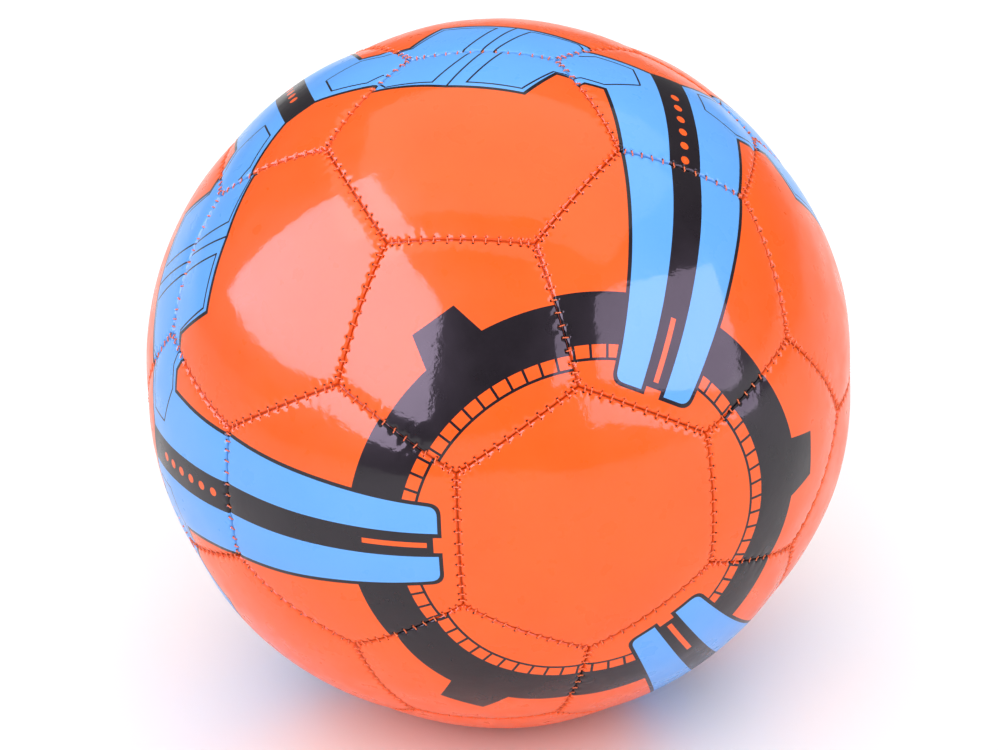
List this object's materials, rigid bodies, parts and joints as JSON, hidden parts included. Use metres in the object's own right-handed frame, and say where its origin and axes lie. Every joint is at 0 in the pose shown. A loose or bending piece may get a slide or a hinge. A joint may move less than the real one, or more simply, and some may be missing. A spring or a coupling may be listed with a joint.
{
  "type": "soccer ball",
  "caption": "Sewn soccer ball: glossy pentagon and hexagon panels over foam, cloth lining and a rubber bladder with a needle valve.",
  "frame": {"origin": "middle of the ball", "axes": "+Y out through the needle valve, -Y out through the middle of the front emblem, +Z through the middle of a belt seam between two hexagons, +X the way one tooth of the front emblem points"},
  "size_m": [0.2192, 0.2199, 0.218],
  "materials": {
    "skin": "gloss",
    "foam": "matte",
    "lining": "matte",
    "thread": "satin",
    "bladder_rubber": "satin",
    "valve_rubber": "satin",
    "plug_rubber": "satin"
  },
  "bodies": {
    "root": {"bladder": "bladder_rubber", "front_band_hexagon_1": "skin", "front_band_hexagon_2": "skin", "front_band_hexagon_3": "skin", "front_belt_hexagon_1": "skin", "front_belt_hexagon_2": "skin", "front_belt_hexagon_3": "skin", "front_belt_hexagon_4": "skin", "front_belt_hexagon_5": "skin", "front_belt_hexagon_6": "skin", "front_belt_pentagon_1": "skin", "front_belt_pentagon_2": "skin", "front_belt_pentagon_3": "skin", "front_emblem_hexagon": "skin", "front_tooth_pentagon_1": "skin", "front_tooth_pentagon_2": "skin", "front_tooth_pentagon_3": "skin", "hexagon_foam_layers": "foam", "hexagon_lining_layers": "lining", "hexagon_seam_threads": "thread", "pentagon_foam_layers": "foam", "pentagon_lining_layers": "lining", "pentagon_seam_threads": "thread", "rear_band_hexagon_1": "skin", "rear_band_hexagon_2": "skin", "rear_band_hexagon_3": "skin", "rear_belt_hexagon_1": "skin", "rear_belt_hexagon_2": "skin", "rear_belt_hexagon_3": "skin", "rear_belt_hexagon_4": "skin", "rear_belt_hexagon_5": "skin", "rear_belt_hexagon_6": "skin", "rear_belt_pentagon_1": "skin", "rear_belt_pentagon_2": "skin", "rear_belt_pentagon_3": "skin", "rear_emblem_hexagon": "skin", "rear_tooth_pentagon_1": "skin", "rear_tooth_pentagon_2": "skin", "rear_tooth_pentagon_3": "skin", "valve_housing": "valve_rubber", "valve_patch": "bladder_rubber", "valve_plug": "plug_rubber"}
  },
  "joints": []
}
